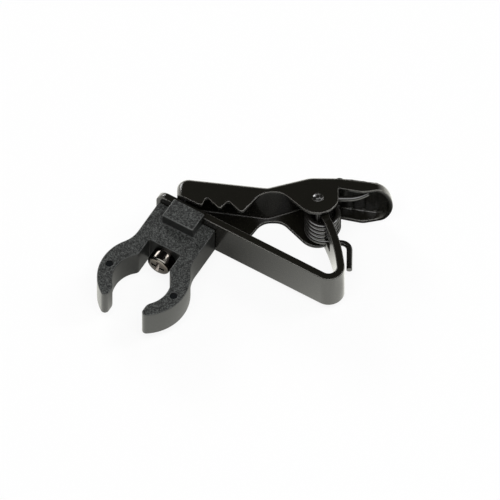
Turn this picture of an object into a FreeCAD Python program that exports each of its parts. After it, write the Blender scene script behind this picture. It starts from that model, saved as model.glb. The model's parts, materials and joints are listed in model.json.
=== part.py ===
import FreeCAD, Part
import math
import os

# A spring clip that carries a small clip-on microphone on clothing.
# Origin: centre of the round microphone grip, at half the grip's height.
# +X runs along the flat tie bar, +Y from the grip's mouth to the jaw,
# +Z along the grip's bore, which is also the way the hinge pin points.
# All sizes are in millimetres and all angles in degrees.

# microphone grip
bore_radius = 4.85
grip_height = 5.6
grip_outer_radius = 7.68
grip_outer_shift = 0.7
mouth_half_width = 3.27
mouth_lip_radius = 1.5
tip_radius = 0.7
body_half_width = 5.43
shoulder_radius = 5.0
body_corner_radius = 0.4
pocket_half_width = 2.97
pocket_depth = 7.4
pocket_throat_radius = 0.9
grip_edge_cut = 0.14
spot_offset = 6.15
spot_radius = 0.72
spot_depth = 0.12
ejector_offset = 3.75
ejector_y = 10.0
ejector_radius = 0.62
ejector_depth = 0.05

# locating block on top of the grip's body
block_half_width = 2.92
block_front_y = 11.35
block_rise = 2.1
block_overlap = 0.6
block_edge_radius = 0.25

# tie bar
strip_width = 7.7
strip_thickness = 1.3
strip_centre_z = 0.5
strip_edge_cut = 0.14
bar_front_y = 14.57
bar_end_x = -6.06
bar_end_corner_radius = 1.75
bend_inside_radius = 1.35
arm_straight_run = 0.77
arm_high_angle = 144.4
arm_curve_radius = 30.0
knuckle_angle = 108.0
neck_curve_radius = 5.0
knuckle_wrap_angle = 285.0

# hinge pin
pin_x = 17.24
pin_over_bar = 11.42
pin_radius = 0.5
pin_running_gap = 0.05
pin_seat_gap = 0.02
rivet_head_radius = 0.78
rivet_head_height = 0.36
rivet_rim_height = 0.1
rivet_flat_radius = 0.85
rivet_flat_depth = 0.05

# jaw lever, pressed from sheet; its sizes are in a frame of its own with the
# origin on the pin and +x from the pin to the thumb tab
closed_angle = 30.8
sheet = 0.65
wall_splay_angle = 7.3
end_splay_angle = 7.0
jaw_half_width = 4.88
web_edge_radius = 0.9
web_inner_cut = 0.2
nose_x = -23.05
nose_height = 4.22
nose_profile_radius = 1.9
waist_x = -8.3
waist_height = 2.24
waist_radius = 1.6
hump_x = -1.3
hump_height = 4.47
hump_radius = 4.5
tab_start_x = 3.4
tab_start_height = 4.46
tab_start_radius = 6.0
tab_end_x = 12.15
tab_end_height = 3.14
tab_plan_radius = 6.5
tab_plan_corner = 2.4
closed_gap = 0.06

# cut edge of the jaw's two side walls
tooth_tips = [(-18.95, -1.76, 0.34), (-16.0, -2.58, 0.48), (-12.45, -3.42, 0.6)]
nose_flat_run = 0.75
nose_flat_radius = 0.4
tooth_roots = [(-18.22, -0.05, 0.3), (-14.67, -0.77, 0.42)]
arch_left = (-9.1, 1.05, 2.9)
arch_right = (-5.85, 1.08, 2.7)
ear_radius = 3.5
ear_lift = 0.15
ear_side_x = 3.4
ear_slope_angle = 46.5
lip_start_y = 1.98
lip_start_radius = 0.15
lip_low = (7.4, 1.18, 3.0)
lip_high = (9.7, 1.62, 2.0)
lip_end_y = 1.45

# pressed ribs across the thumb tab
rib_count = 4
rib_first_x = 3.5
rib_pitch = 1.97
rib_radius = 1.25
rib_height = 0.19
rib_half_length = 3.3

# torsion spring; the coil hangs on the pin
wire_radius = 0.34
wire_sides = 10
coil_radius = 2.55
coil_half_span = 2.56
coil_turns = 4
coil_hang_angle = -56.5
coil_pin_gap = 0.2
tab_leg_angle = 90.0
hook_leg_angle = 264.0
tab_leg_run = 4.2
tab_leg_bend_radius = 5.0
tab_leg_bend_angle = 30.0
tab_leg_gap = 0.16
hook_leg_run = 3.5
hook_bend_radius = 1.35
hook_tail = 3.9
prong_gap = 0.12
window_seat_gap = 0.16
window_corner_radius = 0.5
slot_half_height = 1.3
slot_length = 2.1
slot_corner_radius = 0.6

# screw that holds the grip to the bar
screw_head_radius = 2.05
screw_head_height = 2.5
screw_head_side = 1.95
screw_radius = 1.0
screw_hole_gap = 0.1
screw_thread_gap = 0.02
screw_length = 8.2
screw_z = 0.0
screw_end_cut = 0.3
recess_turn = 6.0
recess_arm = 1.4
recess_width = 0.55
recess_depth = 0.85

V = FreeCAD.Vector
up = V(0, 0, 1)
over = 1.6 * strip_width

strip_half = strip_width / 2
bar_back_y = bar_front_y + strip_thickness
bar_mid_y = bar_front_y + strip_thickness / 2
pin_y = bar_back_y + pin_over_bar
pin_point = V(pin_x, pin_y, strip_centre_z)
grip_half = grip_height / 2
wire_hole_half = coil_half_span + wire_radius + prong_gap
lever = FreeCAD.Placement(pin_point, FreeCAD.Rotation(up, closed_angle))


def sine(angle):
    return math.sin(math.radians(angle))


def cosine(angle):
    return math.cos(math.radians(angle))


def direction(angle):
    return V(cosine(angle), sine(angle), 0)


def line(a, b):
    return Part.LineSegment(a, b).toShape()


def arc(a, mid, b):
    return Part.Arc(a, mid, b).toShape()


def rounded_path(points):
    """Edges along (x, y, radius) corners, each corner rounded to its radius."""
    spots = [V(p[0], p[1], 0) for p in points]
    edges = []
    last = spots[0]
    for i in range(1, len(points) - 1):
        corner = spots[i]
        back = (spots[i - 1] - corner).normalize()
        ahead = (spots[i + 1] - corner).normalize()
        radius = points[i][2]
        if radius == 0:
            edges.append(line(last, corner))
            last = corner
            continue
        half = back.getAngle(ahead) / 2
        reach = radius / math.tan(half)
        middle = (back + ahead).normalize()
        centre = corner + middle * (radius / math.sin(half))
        start = corner + back * reach
        end = corner + ahead * reach
        edges.append(line(last, start))
        edges.append(arc(start, centre - middle * radius, end))
        last = end
    edges.append(line(last, spots[-1]))
    return edges


def offset_corners(points, inset):
    """The same corners, moved to the right of the path by inset."""
    spots = [V(p[0], p[1], 0) for p in points]
    moved = []
    for i in range(len(spots)):
        before = spots[i] - spots[i - 1] if i > 0 else spots[1] - spots[0]
        after = spots[i + 1] - spots[i] if i < len(spots) - 1 else before
        before.normalize()
        after.normalize()
        side = V(before.y, -before.x, 0) + V(after.y, -after.x, 0)
        side.normalize()
        stretch = 1 / max(0.2, side.dot(V(before.y, -before.x, 0)))
        place = spots[i] + side * (inset * stretch)
        turn = before.cross(after).z
        radius = points[i][2]
        if radius > 0:
            radius = radius + inset if turn > 0 else radius - inset
        moved.append((place.x, place.y, radius))
    return moved


def prism(edges, low, high):
    """A solid on the closed outline of edges, from z = low to z = high."""
    face = Part.Face(Part.Wire(Part.__sortEdges__(edges)))
    face.translate(V(0, 0, low))
    return face.extrude(V(0, 0, high - low))


def in_lever_frame(shape):
    placed = shape.copy()
    placed.Placement = lever.multiply(placed.Placement)
    return placed


def edges_where(shape, test):
    return [edge for edge in shape.Edges if test(edge)]


# the jaw's outline seen along the pin

def web_y(x):
    """Height of the tab's outer face over the pin, at x."""
    fall = (tab_start_height - tab_end_height) / (tab_end_x - tab_start_x)
    return tab_start_height - (x - tab_start_x) * fall


def web_corners():
    past_end = tab_end_x + over
    return [
        (nose_x, -over, 0),
        (nose_x, nose_height, nose_profile_radius),
        (waist_x, waist_height, waist_radius),
        (hump_x, hump_height, hump_radius),
        (tab_start_x, tab_start_height, tab_start_radius),
        (past_end, web_y(past_end), 0),
        (past_end, -over, 0),
    ]


def side_block(inset):
    edges = rounded_path(offset_corners(web_corners(), inset))
    ends = [edges[-1].Vertexes[-1].Point, edges[0].Vertexes[0].Point]
    return prism(edges + [line(*ends)], -over, over)


def wedge(inset):
    """Two side planes that spread from the web by the wall's splay."""
    spread = math.tan(math.radians(wall_splay_angle))
    half = jaw_half_width - inset / cosine(wall_splay_angle)
    wide = half + over * spread
    slim = half - over * spread
    left = nose_x - over
    points = [V(left, -over, -wide), V(left, -over, wide), V(left, over, slim), V(left, over, -slim)]
    face = Part.Face(Part.makePolygon(points + [points[0]]))
    return face.extrude(V(tab_end_x - nose_x + 2 * over, 0, 0))


def end_block(inset):
    """The thumb end's bow, which spreads from the web as the two walls do."""
    spread = math.tan(math.radians(end_splay_angle))
    radius = tab_plan_radius - inset / cosine(end_splay_angle)
    low_radius = radius + (tab_end_height + over) * spread
    high_radius = radius - (over - tab_end_height) * spread
    hub = tab_end_x - tab_plan_radius
    bow = Part.makeCone(low_radius, high_radius, 2 * over, V(hub, -over, 0), V(0, 1, 0))
    left = nose_x - over
    return bow.fuse(Part.makeBox(hub - left, 2 * over, 2 * over, V(left, -over, -over)))


def face_normals(block, edge):
    first, last = edge.ParameterRange
    middle = edge.valueAt((first + last) / 2)
    normals = []
    for face in block.ancestorsOfType(edge, Part.Face):
        u, v = face.Surface.parameter(middle)
        normals.append(face.normalAt(u, v))
    return normals


def end_corners(block):
    """The two edges where the walls meet the thumb end's bow."""
    def upright(edge):
        box = edge.BoundBox
        return box.XMin > 0 and box.YMin < 1 - over and box.YLength > over

    return [edge for edge in block.Edges if upright(edge)]


def wall_rim(block):
    """Edges where the web and the nose turn into the two side walls."""
    rim = []
    for edge in block.Edges:
        slopes = sorted(abs(normal.z) for normal in face_normals(block, edge))
        if len(slopes) == 2 and slopes[0] < 0.001 and slopes[1] > 0.9 and edge.BoundBox.YMax > 1 - over:
            rim.append(edge)
    return rim


def jaw_block(inset):
    """The closed form that the sheet is drawn over, inset from its outside."""
    block = side_block(inset).common(wedge(inset)).common(end_block(inset))
    return block.makeFillet(tab_plan_corner - inset, end_corners(block))


def jaw_shell():
    outside = jaw_block(0)
    inside = jaw_block(sheet)
    outside = outside.makeFillet(web_edge_radius, wall_rim(outside))
    inside = inside.makeChamfer(web_inner_cut, wall_rim(inside))
    return outside.cut(inside)


def bar_line_y(x):
    """The bar's back face in the jaw's frame, less the closed gap."""
    return (-(pin_over_bar - closed_gap) - x * sine(closed_angle)) / cosine(closed_angle)


def trim_edges():
    """Everything under the walls' cut edge: nose, teeth, arch, ear and lip."""
    start = nose_x - 3 * sheet
    flat_end = tooth_tips[0][0] - nose_flat_run
    ear_centre = V(0, ear_lift, 0)
    touch = ear_centre + direction(270 - ear_slope_angle) * ear_radius
    ear_end = V(ear_side_x, ear_lift - math.sqrt(ear_radius ** 2 - ear_side_x ** 2), 0)
    ear_bottom = ear_centre + V(0, -ear_radius, 0)
    far = tab_end_x + 3 * sheet
    left = rounded_path([
        (start, -over, 0),
        (start, bar_line_y(start), 0),
        (flat_end, bar_line_y(flat_end), nose_flat_radius),
        tooth_tips[0],
        tooth_roots[0],
        tooth_tips[1],
        tooth_roots[1],
        tooth_tips[2],
        arch_left,
        arch_right,
        (touch.x, touch.y, 0),
    ])
    right = rounded_path([
        (ear_end.x, ear_end.y, 0),
        (ear_side_x, lip_start_y, lip_start_radius),
        lip_low,
        lip_high,
        (far, lip_end_y, 0),
        (far, -over, 0),
        (start, -over, 0),
    ])
    return left + [arc(touch, ear_bottom, ear_end)] + right


def rib_cylinder(x, radius):
    centre_y = web_y(x) + rib_height - rib_radius
    solid = Part.makeCylinder(radius, 2 * rib_half_length, V(x, centre_y, -rib_half_length), up)
    for end in (-1, 1):
        ball = Part.makeSphere(radius, V(x, centre_y, end * rib_half_length))
        solid = solid.fuse(ball)
    return solid


def make_jaw_lever():
    shell = jaw_shell()
    for i in range(rib_count):
        x = rib_first_x + i * rib_pitch
        shell = shell.fuse(rib_cylinder(x, rib_radius).common(upper_space(x)))
    for i in range(rib_count):
        x = rib_first_x + i * rib_pitch
        shell = shell.cut(rib_cylinder(x, rib_radius - sheet))
    shell = shell.cut(prism(trim_edges(), -over, over))
    hole = pin_radius + pin_seat_gap
    shell = shell.cut(Part.makeCylinder(hole, 2 * over, V(0, 0, -over), up))
    for end in (-1, 1):
        seat = V(0, 0, end * rivet_seat_z())
        shell = shell.cut(Part.makeCylinder(rivet_flat_radius, over, seat, up * end))
    return in_lever_frame(shell.removeSplitter())


def upper_space(x):
    """The space outside the sheet's middle, where a rib may stand."""
    low = web_y(x) - sheet / 2
    return Part.makeBox(2 * over, over, 2 * over, V(x - over, low, -over))


def rivet_seat_z():
    spread = math.tan(math.radians(wall_splay_angle))
    return jaw_half_width - rivet_flat_depth - rivet_flat_radius * spread


def make_pivot_pin():
    """One rivet, with a low dome staked over each wall."""
    seat = rivet_seat_z() + pin_seat_gap
    rim = seat + rivet_rim_height
    top = seat + rivet_head_height
    upper = [
        line(V(pin_radius, 0, 0), V(pin_radius, seat, 0)),
        line(V(pin_radius, seat, 0), V(rivet_head_radius, seat, 0)),
        line(V(rivet_head_radius, seat, 0), V(rivet_head_radius, rim, 0)),
        arc(V(rivet_head_radius, rim, 0), dome_middle(rivet_head_radius, rim, top), V(0, top, 0)),
    ]
    lower = [edge.mirror(V(0, 0, 0), V(0, 1, 0)) for edge in upper]
    face = Part.Face(Part.Wire(Part.__sortEdges__(upper + lower + [line(V(0, -top, 0), V(0, top, 0))])))
    pin = face.revolve(V(0, 0, 0), V(0, 1, 0), 360)
    pin.rotate(V(0, 0, 0), V(1, 0, 0), 90)
    return in_lever_frame(pin)


def dome_middle(radius, rim, top):
    """Half way along a dome's arc, which stands square to the axis at its top."""
    rise = top - rim
    ball = (radius ** 2 + rise ** 2) / (2 * abs(rise))
    half = math.asin(radius / ball) / 2
    return V(ball * math.sin(half), top - math.copysign(ball * (1 - math.cos(half)), rise), 0)


# the tie bar is one strip: straight bar, tight bend, curved arm and two
# knuckles rolled round the pin

def walk_strip(start, heading, pieces):
    """Both sides of a strip that follows (length or radius, turn) pieces."""
    half = strip_thickness / 2
    left = []
    right = []
    place = start
    for size, turn in pieces:
        if turn == 0:
            end = place + direction(heading) * size
            side = direction(heading + 90) * half
            left.append(line(place + side, end + side))
            right.append(line(place - side, end - side))
            place = end
            continue
        hand = 1 if turn > 0 else -1
        hub = place + direction(heading + 90 * hand) * size
        spokes = [direction(heading - 90 * hand + turn * share) for share in (0, 0.5, 1)]
        for edges, radius in ((left, size - half * hand), (right, size + half * hand)):
            edges.append(arc(*[hub + spoke * radius for spoke in spokes]))
        place = hub + spokes[2] * size
        heading = heading + turn
    side = direction(heading + 90) * half
    cap = [line(place + side, place - side)]
    side = V(0, half, 0)
    foot = [line(start + side, start - side)]
    return left + cap + right + foot


def strip_pieces():
    """The strip's centre line from the bar's free end to the knuckle's end."""
    roll = pin_radius + pin_running_gap + strip_thickness / 2
    pin = V(pin_x, pin_y, 0)
    neck_turn = knuckle_angle - arm_high_angle
    neck_end = pin + direction(knuckle_angle - 90) * roll
    neck_hub = neck_end + direction(knuckle_angle - 90) * neck_curve_radius
    neck_start = neck_hub - direction(arm_high_angle - 90) * neck_curve_radius
    arm_hub = neck_start + direction(arm_high_angle + 90) * arm_curve_radius
    bend_radius = bend_inside_radius + strip_thickness / 2

    def bend_hub(low_angle):
        """The bend's hub, for an arm that leaves the bend at this angle."""
        inward = direction(low_angle + 90)
        arm_start = arm_hub - inward * arm_curve_radius
        return arm_start - direction(low_angle) * arm_straight_run + inward * bend_radius

    smallest = arm_high_angle - 60
    largest = arm_high_angle
    for i in range(50):
        low_angle = (smallest + largest) / 2
        if bend_hub(low_angle).y > bar_mid_y + bend_radius:
            largest = low_angle
        else:
            smallest = low_angle
    return [
        (bend_hub(low_angle).x - bar_end_x, 0),
        (bend_radius, low_angle),
        (arm_straight_run, 0),
        (arm_curve_radius, arm_high_angle - low_angle),
        (neck_curve_radius, neck_turn),
        (roll, knuckle_wrap_angle),
    ]


def make_tie_bar():
    start = V(bar_end_x, bar_mid_y, 0)
    outline = walk_strip(start, 0, strip_pieces())
    low = strip_centre_z - strip_half
    high = strip_centre_z + strip_half
    bar = prism(outline, low, high)
    bar = bar.common(end_round())
    bar = soften_strip(bar, low, high)
    bar = bar.cut(coil_window())
    hole = screw_radius + screw_thread_gap
    drill = V(0, bar_front_y - strip_thickness, screw_z)
    return bar.cut(Part.makeCylinder(hole, 3 * strip_thickness, drill, V(0, 1, 0)))


def end_round():
    """The bar's free end has round corners; the rest of the strip keeps its width."""
    far = pin_x + 2 * over
    corner = bar_end_corner_radius
    edges = rounded_path([
        (far, -strip_half, 0),
        (bar_end_x, -strip_half, corner),
        (bar_end_x, strip_half, corner),
        (far, strip_half, 0),
    ])
    solid = prism(edges + [line(V(far, strip_half, 0), V(far, -strip_half, 0))], -pin_y - over, 0)
    solid.rotate(V(0, 0, 0), V(1, 0, 0), 90)
    solid.translate(V(0, 0, strip_centre_z))
    return solid


def soften_strip(bar, low, high):
    def on_rim(edge):
        box = edge.BoundBox
        flat = box.ZLength < 0.001
        return flat and (abs(box.ZMin - low) < 0.001 or abs(box.ZMax - high) < 0.001) and edge.Length > 1.05 * strip_thickness

    return bar.makeChamfer(strip_edge_cut, edges_where(bar, on_rim))


def hook_leg_line():
    """Start, heading and end of the leg that leaves the coil for the arm."""
    start = coil_centre() + direction(hook_leg_angle) * coil_radius
    heading = hook_leg_angle - 270
    return start, heading, start + direction(heading) * hook_leg_run


def coil_centre():
    seat = coil_radius - wire_radius - pin_radius - coil_pin_gap
    return direction(coil_hang_angle) * seat


def coil_window():
    """The opening in the arm that clears the coil and carries its leg."""
    leg_end = hook_leg_line()[2]
    sill = leg_end.y - wire_radius - window_seat_gap
    half = wire_hole_half
    wide = Part.makeBox(over, over, 2 * half, V(-coil_radius - wire_radius, sill, -half))
    corner = edges_where(wide, lambda e: e.BoundBox.XLength > half and abs(e.BoundBox.YMax - sill) < 0.001)
    wide = wide.makeFillet(window_corner_radius, corner)
    foot = sill - slot_length
    slot = Part.makeBox(over, 2 * slot_length, 2 * slot_half_height, V(0, foot, -slot_half_height))
    corner = edges_where(slot, lambda e: e.BoundBox.XLength > half and abs(e.BoundBox.YMax - foot) < 0.001)
    slot = slot.makeFillet(slot_corner_radius, corner)
    return in_lever_frame(wide.fuse(slot))


# the spring is one wire: a leg on the thumb tab, the coil, and a leg that
# goes through the arm's window and turns down over the arm

def turning_pair(start, start_way, end, end_way):
    """Two arcs that leave start along start_way and reach end along end_way."""
    chord = end - start
    both = start_way + end_way
    slack = 1 - start_way.dot(end_way)
    lean = chord.dot(both)
    reach = (math.sqrt(lean * lean + 2 * slack * chord.dot(chord)) - lean) / (2 * slack)
    first = start + start_way * reach
    second = end - end_way * reach
    joint = (first + second) * 0.5
    return [tangent_arc(start, first, joint), tangent_arc(joint, second, end)]


def tangent_arc(a, corner, b):
    """The arc from a to b whose end tangents meet at corner."""
    middle = (a + b) * 0.5
    rise = corner - middle
    half_chord = (b - a).Length / 2
    half_turn = math.atan2(rise.Length, half_chord)
    height = half_chord * math.tan(half_turn / 2)
    return arc(a, middle + rise.normalize() * height, b)


def coil_point(angle, height):
    return coil_centre() + direction(angle) * coil_radius + up * height


def spring_path():
    total = 360 * coil_turns + hook_leg_angle - tab_leg_angle
    steps = math.ceil(total / 90)
    fall = 2 * coil_half_span
    slope = -fall / (math.radians(total) * coil_radius)
    spots = []
    for i in range(steps + 1):
        share = i / steps
        angle = tab_leg_angle + total * share
        level = slope if 0 < i < steps else 0
        way = (direction(angle + 90) + up * level).normalize()
        spots.append((coil_point(angle, coil_half_span - fall * share), way))
    coil = []
    for (a, a_way), (b, b_way) in zip(spots, spots[1:]):
        coil += turning_pair(a, a_way, b, b_way)
    return tab_leg() + coil + hook_leg(spots[-1][0])


def tab_leg():
    """From the web's inner face to the coil's far side."""
    foot = coil_point(tab_leg_angle, coil_half_span)
    heading = tab_leg_angle - 90
    bend_start = foot + direction(heading) * tab_leg_run
    hub = bend_start + direction(heading + 90) * tab_leg_bend_radius
    bend_mid = hub + direction(heading - 90 + tab_leg_bend_angle / 2) * tab_leg_bend_radius
    bend_end = hub + direction(heading - 90 + tab_leg_bend_angle) * tab_leg_bend_radius
    way = direction(heading + tab_leg_bend_angle)
    fall = math.atan((tab_start_height - tab_end_height) / (tab_end_x - tab_start_x))
    clear = (sheet + wire_radius + tab_leg_gap) / math.cos(fall)
    short = web_y(bend_end.x) - clear - bend_end.y
    rise = way.y + way.x * math.tan(fall)
    tip = bend_end + way * (short / rise)
    return [line(tip, bend_end), arc(bend_end, bend_mid, bend_start), line(bend_start, foot)]


def hook_leg(foot):
    heading = hook_leg_line()[1]
    bend_start = foot + direction(heading) * hook_leg_run
    turn = heading + 90
    hub = bend_start + direction(heading - 90) * hook_bend_radius
    bend_mid = hub + direction(heading + 90 - turn / 2) * hook_bend_radius
    bend_end = hub + V(hook_bend_radius, 0, 0)
    tail_end = bend_end + V(0, -hook_tail, 0)
    return [line(foot, bend_start), arc(bend_start, bend_mid, bend_end), line(bend_end, tail_end)]


def least_gap(edges):
    """Smallest clear distance of the wire to itself, on points along it."""
    points = []
    run = 0.0
    for edge in edges:
        count = max(2, math.ceil(edge.Length / 0.12))
        for i in range(count):
            share = i / count
            first, last = edge.ParameterRange
            points.append((run + edge.Length * share, edge.valueAt(first + (last - first) * share)))
        run += edge.Length
    apart = 3 * coil_radius
    nearest = min(
        (a[1] - b[1]).Length
        for i, a in enumerate(points)
        for b in points[i + 1:]
        if b[0] - a[0] > apart
    )
    return nearest - 2 * wire_radius


def make_torsion_spring():
    edges = spring_path()
    start = edges[0].valueAt(edges[0].FirstParameter)
    way = edges[0].tangentAt(edges[0].FirstParameter)
    across = way.cross(up).normalize()
    over_wire = across.cross(way)
    spokes = [360.0 * k / wire_sides for k in range(wire_sides + 1)]
    ring = Part.makePolygon([start + (across * cosine(k) + over_wire * sine(k)) * wire_radius for k in spokes])
    wire = Part.Wire(edges)
    spring = wire.makePipeShell([ring], True, False)
    print("spring: wire length %.1f mm, least gap to itself %.3f mm" % (wire.Length, least_gap(edges)))
    return in_lever_frame(spring)


# the grip is one moulding: round grip, body with the screw's pocket, and a
# block that laps over the bar's edge so that the grip can't turn

def grip_outline():
    hub = V(0, grip_outer_shift, 0)
    reach = grip_outer_radius + shoulder_radius
    shoulder_x = body_half_width + shoulder_radius
    shoulder = V(shoulder_x, grip_outer_shift + math.sqrt(reach ** 2 - shoulder_x ** 2), 0)
    join = hub + (shoulder - hub).normalize() * grip_outer_radius
    side = V(body_half_width, shoulder.y, 0)
    bow = (join + side) * 0.5 - shoulder
    shoulder_mid = shoulder + bow.normalize() * shoulder_radius
    outer_mid = hub + direction(-20) * grip_outer_radius
    tip_x = mouth_half_width + tip_radius
    tip_reach = grip_outer_radius - tip_radius
    tip = V(tip_x, grip_outer_shift - math.sqrt(tip_reach ** 2 - tip_x ** 2), 0)
    outer_tip = hub + (tip - hub).normalize() * grip_outer_radius
    inner_tip = V(mouth_half_width, tip.y, 0)
    tip_low = tip + ((outer_tip - tip).normalize() + V(-1, 0, 0)).normalize() * tip_radius
    lip_radius = min(mouth_lip_radius, 0.9 * lip_room(tip.y))
    lip_x = mouth_half_width + lip_radius
    lip = V(lip_x, -math.sqrt((bore_radius + lip_radius) ** 2 - lip_x ** 2), 0)
    on_bore = lip * (bore_radius / lip.Length)
    on_lip = V(mouth_half_width, lip.y, 0)
    lip_mid = lip + ((on_bore - lip) + (on_lip - lip)).normalize() * lip_radius
    back = V(body_half_width, bar_front_y, 0)
    throat = throat_points()
    right = [
        line(side, V(back.x, back.y - body_corner_radius, 0)),
        arc(side, shoulder_mid, join),
        arc(join, outer_mid, outer_tip),
        arc(outer_tip, tip_low, inner_tip),
        line(inner_tip, on_lip),
        arc(on_lip, lip_mid, on_bore),
        arc(on_bore, V(bore_radius, 0, 0), throat[0]),
        arc(throat[0], throat[1], throat[2]),
        line(throat[2], V(pocket_half_width, pocket_depth, 0)),
    ]
    corner = body_corner_radius
    knee = V(back.x - corner, back.y - corner, 0) + V(1, 1, 0).normalize() * corner
    right.append(arc(V(back.x, back.y - corner, 0), knee, V(back.x - corner, back.y, 0)))
    left = [edge.mirror(V(0, 0, 0), V(1, 0, 0)) for edge in right]
    middle = [
        line(V(corner - back.x, back.y, 0), V(back.x - corner, back.y, 0)),
        line(V(-pocket_half_width, pocket_depth, 0), V(pocket_half_width, pocket_depth, 0)),
    ]
    return right + left + middle


def lip_room(tip_y):
    """The largest lip radius that still ends above the arm's tip."""
    return (tip_y ** 2 - bore_radius ** 2 + mouth_half_width ** 2) / (2 * (bore_radius - mouth_half_width))


def throat_points():
    """The rounded corner where the screw's pocket opens into the bore."""
    hub_x = pocket_half_width + pocket_throat_radius
    reach = bore_radius + pocket_throat_radius
    hub = V(hub_x, math.sqrt(reach ** 2 - hub_x ** 2), 0)
    on_bore = hub - V(hub.x, hub.y, 0).normalize() * pocket_throat_radius
    on_side = V(pocket_half_width, hub.y, 0)
    bow = (on_bore + on_side) * 0.5 - hub
    return on_bore, hub + bow.normalize() * pocket_throat_radius, on_side


def make_mic_grip():
    grip = prism(grip_outline(), -grip_half, grip_half)
    faces = [face for face in grip.Faces if abs(face.CenterOfMass.z) > grip_half - 0.001]
    rim = [edge for face in faces for edge in face.Edges if abs(edge.CenterOfMass.y - bar_front_y) > 0.3]
    grip = grip.makeChamfer(grip_edge_cut, rim)
    grip = grip.fuse(make_block()).removeSplitter()
    hole = screw_radius + screw_hole_gap
    grip = grip.cut(Part.makeCylinder(hole, 2 * over, V(0, 0, screw_z), V(0, 1, 0)))
    for side in (-1, 1):
        spot = V(side * spot_offset, 0, grip_half - spot_depth)
        grip = grip.cut(Part.makeCylinder(spot_radius, over, spot, up))
        mark = V(side * ejector_offset, ejector_y, grip_half - ejector_depth)
        grip = grip.cut(Part.makeCylinder(ejector_radius, over, mark, up))
    return grip


def make_block():
    """Raised block; its back part laps over the bar's upper edge."""
    top = grip_half + block_rise
    edge_z = strip_centre_z + strip_half
    depth = bar_front_y - block_front_y + block_overlap
    base = V(-block_half_width, block_front_y, grip_half - block_rise / 2)
    block = Part.makeBox(2 * block_half_width, depth, top - base.z, base)
    rim = edges_where(block, lambda e: abs(e.BoundBox.ZMin - top) < 0.001)
    block = block.makeFillet(block_edge_radius, rim)
    strip = Part.makeBox(2 * over, over, edge_z + over, V(-over, bar_front_y, -over))
    return block.cut(strip)


def make_grip_screw():
    """Pan head in the pocket, shank through the body into the bar."""
    seat = pocket_depth
    top = seat - screw_head_height
    side = seat - screw_head_side
    a = V(0, top, 0)
    b = V(screw_head_radius, side, 0)
    c = V(screw_head_radius, seat, 0)
    d = V(screw_radius, seat, 0)
    e = V(screw_radius, seat + screw_length - screw_end_cut, 0)
    f = V(screw_radius - screw_end_cut, seat + screw_length, 0)
    g = V(0, seat + screw_length, 0)
    crown = dome_middle(screw_head_radius, side, top)
    edges = [arc(a, crown, b), line(b, c), line(c, d), line(d, e), line(e, f), line(f, g), line(g, a)]
    screw = Part.Face(Part.Wire(edges)).revolve(V(0, 0, 0), V(0, 1, 0), 360)
    for turn in (recess_turn, recess_turn + 90):
        mouth = V(-recess_arm, top - recess_depth, -recess_width / 2)
        slot = Part.makeBox(2 * recess_arm, 2 * recess_depth, recess_width, mouth)
        slot.rotate(V(0, 0, 0), V(0, 1, 0), turn)
        screw = screw.cut(slot)
    screw.translate(V(0, 0, screw_z))
    return screw


pieces = {
    "mic_grip": make_mic_grip,
    "grip_screw": make_grip_screw,
    "tie_bar": make_tie_bar,
    "torsion_spring": make_torsion_spring,
    "jaw_lever": make_jaw_lever,
    "pivot_pin": make_pivot_pin,
}

os.makedirs("parts", exist_ok=True)
for name, make in pieces.items():
    shape = make()
    solids = shape.Solids
    shape = solids[0] if len(solids) == 1 else shape
    shape.exportStep("parts/" + name + ".step")
    box = shape.BoundBox
    print("%s: %d solid, %.1f mm3, %.1f x %.1f x %.1f mm, valid %s" % (
        name, len(solids), shape.Volume, box.XLength, box.YLength, box.ZLength, shape.isValid()))
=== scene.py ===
# %% [markdown]
# A spring clip for clothing, with a small holder for a microphone, dressed for
# rendering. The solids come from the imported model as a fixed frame. This file gives
# them edges, finishes and light. Everything is in metres, in the frame of the
# holder's bore: x across the holder, y towards the bar, z along the hinge pin.

# %% Load the frame
import json
import math
import bmesh
import bpy
from mathutils import Matrix, Vector
from mathutils.bvhtree import BVHTree


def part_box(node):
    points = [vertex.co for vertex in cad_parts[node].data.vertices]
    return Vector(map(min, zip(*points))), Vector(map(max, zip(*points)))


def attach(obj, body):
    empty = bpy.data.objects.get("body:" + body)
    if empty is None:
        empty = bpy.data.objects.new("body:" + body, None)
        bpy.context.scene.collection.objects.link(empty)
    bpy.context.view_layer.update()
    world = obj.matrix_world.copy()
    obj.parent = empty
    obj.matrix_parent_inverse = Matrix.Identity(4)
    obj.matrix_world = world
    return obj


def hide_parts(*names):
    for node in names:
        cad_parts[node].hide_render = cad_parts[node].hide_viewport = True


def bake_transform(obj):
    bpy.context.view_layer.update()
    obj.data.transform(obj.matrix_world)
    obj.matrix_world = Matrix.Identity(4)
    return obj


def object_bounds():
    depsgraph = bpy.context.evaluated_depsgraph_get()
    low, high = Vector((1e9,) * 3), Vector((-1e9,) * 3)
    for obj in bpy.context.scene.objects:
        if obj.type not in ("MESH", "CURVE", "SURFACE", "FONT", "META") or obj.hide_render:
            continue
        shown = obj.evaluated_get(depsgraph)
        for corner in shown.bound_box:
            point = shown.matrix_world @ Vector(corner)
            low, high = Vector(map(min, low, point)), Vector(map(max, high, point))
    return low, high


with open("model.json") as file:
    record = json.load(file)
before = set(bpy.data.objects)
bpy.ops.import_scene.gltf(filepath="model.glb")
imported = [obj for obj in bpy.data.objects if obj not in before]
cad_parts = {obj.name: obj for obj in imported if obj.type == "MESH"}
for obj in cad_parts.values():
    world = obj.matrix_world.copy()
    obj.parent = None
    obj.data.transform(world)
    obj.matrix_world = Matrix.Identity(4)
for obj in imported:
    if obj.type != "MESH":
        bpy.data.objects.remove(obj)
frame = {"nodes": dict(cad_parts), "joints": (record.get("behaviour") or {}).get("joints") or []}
cad_low, cad_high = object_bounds()
MM = 0.001
print("CAD box in mm:", [round((b - a) / MM, 2) for a, b in zip(cad_low, cad_high)])

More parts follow.
